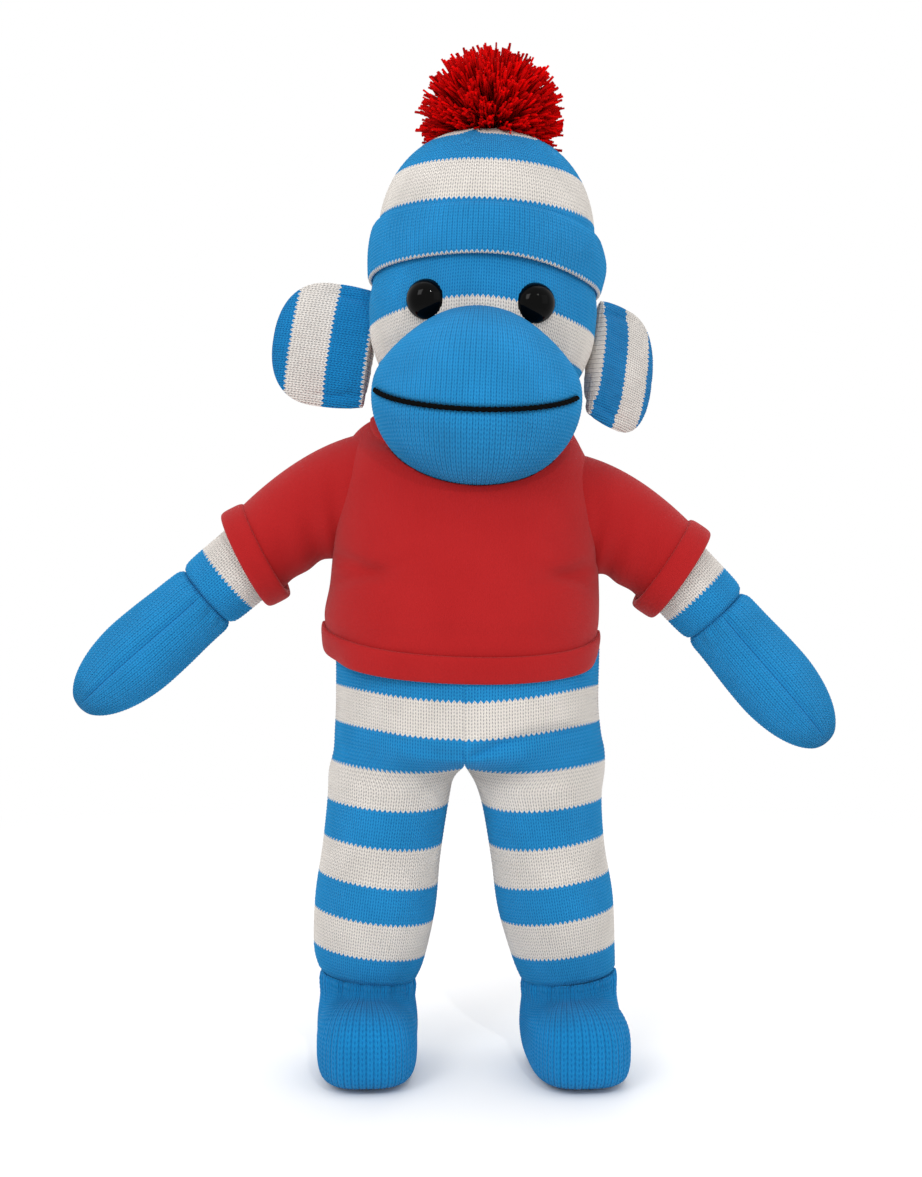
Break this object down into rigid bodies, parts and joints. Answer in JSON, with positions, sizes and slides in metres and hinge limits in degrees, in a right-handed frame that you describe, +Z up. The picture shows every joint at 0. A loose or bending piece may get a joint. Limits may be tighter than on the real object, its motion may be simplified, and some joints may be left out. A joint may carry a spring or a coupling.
{
  "type": "stuffed sock monkey",
  "caption": "Standing stuffed knitted monkey with a big muzzle, flat round ears, T-shirt, turned-up hat and yarn pompom; its head, arms, hands, legs and feet move.",
  "frame": {"origin": "on the floor, under the middle of the monkey's overall width and depth", "axes": "+Z up along the monkey, -Y the way it faces, +X towards its own left"},
  "size_m": [0.3058, 0.1156, 0.4058],
  "materials": {
    "striped_knit": "machine-knitted wales in bands of blue and off-white, matt",
    "blue_knit": "machine-knitted plain blue, matt",
    "red_jersey": "smooth single jersey, matt",
    "red_yarn": "cut yarn, soft sheen",
    "black_yarn": "two-ply yarn, matt",
    "sewing_thread": "sewing thread, matt",
    "fibrefill": "polyester filling, matt",
    "black_plastic": "polished",
    "white_plastic": "moulded"
  },
  "bodies": {
    "torso": {"torso_skin": "striped_knit", "torso_stuffing": "fibrefill", "shirt_body": "red_jersey", "shirt_hem": "red_jersey", "shirt_collar": "red_jersey"},
    "neck": {"neck_stuffing": "fibrefill"},
    "neck_tie": {"neck_thread": "sewing_thread"},
    "head": {"head_skin": "striped_knit", "head_stuffing": "fibrefill", "muzzle_skin": "blue_knit", "muzzle_stuffing": "fibrefill", "mouth_yarn": "black_yarn", "left_eye": "black_plastic", "left_eye_washer": "white_plastic", "right_eye": "black_plastic", "right_eye_washer": "white_plastic", "hat_crown": "striped_knit", "hat_cuff": "blue_knit"},
    "pompom": {"pompom_yarn": "red_yarn", "pompom_tie": "red_yarn"},
    "left_ear": {"left_ear_skin": "striped_knit", "left_ear_pad": "fibrefill"},
    "left_shoulder": {"left_shoulder_thread": "sewing_thread"},
    "left_arm": {"left_arm_skin": "striped_knit", "left_arm_stuffing": "fibrefill", "left_sleeve": "red_jersey", "left_sleeve_cuff": "red_jersey"},
    "left_hand": {"left_hand_skin": "blue_knit", "left_hand_stuffing": "fibrefill", "left_wrist_thread": "sewing_thread"},
    "left_leg": {"left_leg_skin": "striped_knit", "left_leg_stuffing": "fibrefill"},
    "left_foot": {"left_foot_skin": "blue_knit", "left_foot_stuffing": "fibrefill", "left_ankle_thread": "sewing_thread"},
    "right_ear": {"right_ear_skin": "striped_knit", "right_ear_pad": "fibrefill"},
    "right_shoulder": {"right_shoulder_thread": "sewing_thread"},
    "right_arm": {"right_arm_skin": "striped_knit", "right_arm_stuffing": "fibrefill", "right_sleeve": "red_jersey", "right_sleeve_cuff": "red_jersey"},
    "right_hand": {"right_hand_skin": "blue_knit", "right_hand_stuffing": "fibrefill", "right_wrist_thread": "sewing_thread"},
    "right_leg": {"right_leg_skin": "striped_knit", "right_leg_stuffing": "fibrefill"},
    "right_foot": {"right_foot_skin": "blue_knit", "right_foot_stuffing": "fibrefill", "right_ankle_thread": "sewing_thread"}
  },
  "joints": [
    {"name": "neck_turn", "type": "hinge", "parent": "torso", "child": "neck", "pos_m": [0.00866, 0.01248, 0.252], "axis": [0, 0, 1], "range_deg": [-15, 15], "stiffness_Nm_per_rad": 0.1},
    {"name": "head_tilt", "type": "hinge", "parent": "neck", "child": "neck_tie", "pos_m": [0.00866, 0.01248, 0.252], "axis": [0, -1, 0], "range_deg": [-9, 9], "stiffness_Nm_per_rad": 0.4},
    {"name": "head_nod", "type": "hinge", "parent": "neck_tie", "child": "head", "pos_m": [0.00866, 0.01248, 0.252], "axis": [1, 0, 0], "range_deg": [-18, 6], "stiffness_Nm_per_rad": 0.4},
    {"name": "pompom_wobble", "type": "hinge", "parent": "head", "child": "pompom", "pos_m": [0.01369, 0.01248, 0.36719], "axis": [1, 0, 0], "range_deg": [-8, 8], "stiffness_Nm_per_rad": 0.03},
    {"name": "left_ear_flop", "type": "hinge", "parent": "head", "child": "left_ear", "pos_m": [0.05616, 0.01488, 0.28296], "axis": [0.0436, 0, 0.999], "range_deg": [-16, 16], "stiffness_Nm_per_rad": 0.01},
    {"name": "left_arm_swing", "type": "hinge", "parent": "torso", "child": "left_shoulder", "pos_m": [0.05416, 0.01149, 0.23], "axis": [1, 0, 0], "range_deg": [-50, 35]},
    {"name": "left_arm_raise", "type": "hinge", "parent": "left_shoulder", "child": "left_arm", "pos_m": [0.05416, 0.01149, 0.23], "axis": [0, -1, 0], "range_deg": [-15, 55]},
    {"name": "left_hand_bend", "type": "hinge", "parent": "left_arm", "child": "left_hand", "pos_m": [0.10417, 0.01149, 0.17821], "axis": [0, -1, 0], "range_deg": [-25, 25]},
    {"name": "left_hip_swing", "type": "hinge", "parent": "torso", "child": "left_leg", "pos_m": [0.03266, 0.00848, 0.128], "axis": [1, 0, 0], "range_deg": [-90, 20]},
    {"name": "left_ankle_bend", "type": "hinge", "parent": "left_leg", "child": "left_foot", "pos_m": [0.04416, 0.00848, 0.036], "axis": [1, 0, 0], "range_deg": [-15, 15]},
    {"name": "right_ear_flop", "type": "hinge", "parent": "head", "child": "right_ear", "pos_m": [-0.03569, 0.01809, 0.28697], "axis": [0.0436, 0, 0.999], "range_deg": [-16, 16], "stiffness_Nm_per_rad": 0.01},
    {"name": "right_arm_swing", "type": "hinge", "parent": "torso", "child": "right_shoulder", "pos_m": [-0.04484, 0.01149, 0.232], "axis": [1, 0, 0], "range_deg": [-50, 35]},
    {"name": "right_arm_raise", "type": "hinge", "parent": "right_shoulder", "child": "right_arm", "pos_m": [-0.04484, 0.01149, 0.232], "axis": [0, 1, 0], "range_deg": [-15, 55]},
    {"name": "right_hand_bend", "type": "hinge", "parent": "right_arm", "child": "right_hand", "pos_m": [-0.1, 0.01149, 0.18572], "axis": [0, 1, 0], "range_deg": [-25, 25]},
    {"name": "right_hip_swing", "type": "hinge", "parent": "torso", "child": "right_leg", "pos_m": [-0.02234, 0.00848, 0.128], "axis": [1, 0, 0], "range_deg": [-90, 20]},
    {"name": "right_ankle_bend", "type": "hinge", "parent": "right_leg", "child": "right_foot", "pos_m": [-0.03384, 0.00848, 0.036], "axis": [1, 0, 0], "range_deg": [-15, 15]}
  ]
}
